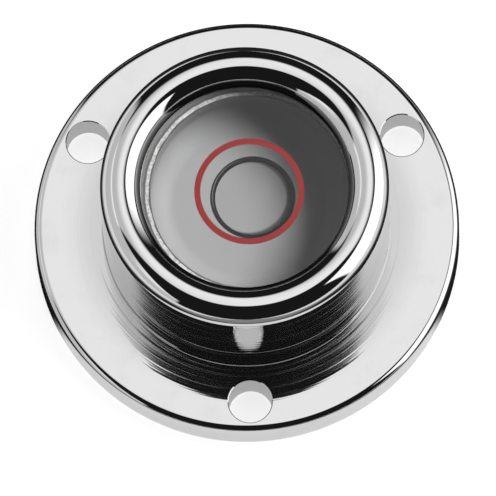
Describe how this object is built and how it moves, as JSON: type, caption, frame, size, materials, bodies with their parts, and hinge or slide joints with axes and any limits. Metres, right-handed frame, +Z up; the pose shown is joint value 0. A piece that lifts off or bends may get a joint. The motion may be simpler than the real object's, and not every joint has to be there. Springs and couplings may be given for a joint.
{
  "type": "circular spirit level",
  "caption": "Round bull's-eye spirit level in a polished turned housing, with a screw-down flange, glass cover, red centring circle and a bubble that runs to the high side.",
  "frame": {"origin": "centre of the flange's back face, on the housing's axis", "axes": "+Z up along the housing's axis through the glass; -Y points to the fixing hole that stands alone at the front"},
  "size_m": [0.044, 0.044, 0.0215],
  "materials": {
    "plated_housing": "mirror-polished nickel or chrome plate",
    "cover_glass": "ground and polished clear glass",
    "ring_enamel": "fired red enamel",
    "cup_metal": "turned, matt grey lacquer inside",
    "joint_cement": "set cement, slightly uneven",
    "backing_lacquer": "matt grey lacquer",
    "brass": "turned",
    "washer_fibre": "smooth",
    "liquid": "clear, nearly colourless",
    "bubble_gas": "clear",
    "seal_compound": "dull black",
    "bedding_plaster": "set plaster, matt",
    "closing_brass": "satin, lightly lacquered"
  },
  "bodies": {
    "housing_body": {"housing": "plated_housing", "cover_glass": "cover_glass", "centring_ring": "ring_enamel", "vial_cup": "cup_metal", "joint_cement": "joint_cement", "backing_disc": "backing_lacquer", "filler_screw": "brass", "filler_washer": "washer_fibre", "lip_seal": "seal_compound", "bedding": "bedding_plaster", "closing_disc": "closing_brass"},
    "liquid_body": {"liquid": "liquid"},
    "bubble_body": {"bubble": "bubble_gas"}
  },
  "joints": [
    {"name": "liquid_swirl", "type": "hinge", "parent": "housing_body", "child": "liquid_body", "pos_m": [0.00045, 0, 0.0137], "axis": [0, 0, 1], "continuous": true},
    {"name": "bubble_run", "type": "hinge", "parent": "liquid_body", "child": "bubble_body", "pos_m": [0.00045, 0, -0.21297], "axis": [0.8192, 0.5736, 0], "range_deg": [-1.57, 1.26], "stiffness_Nm_per_rad": 0.003, "deforming": ["liquid"]}
  ]
}
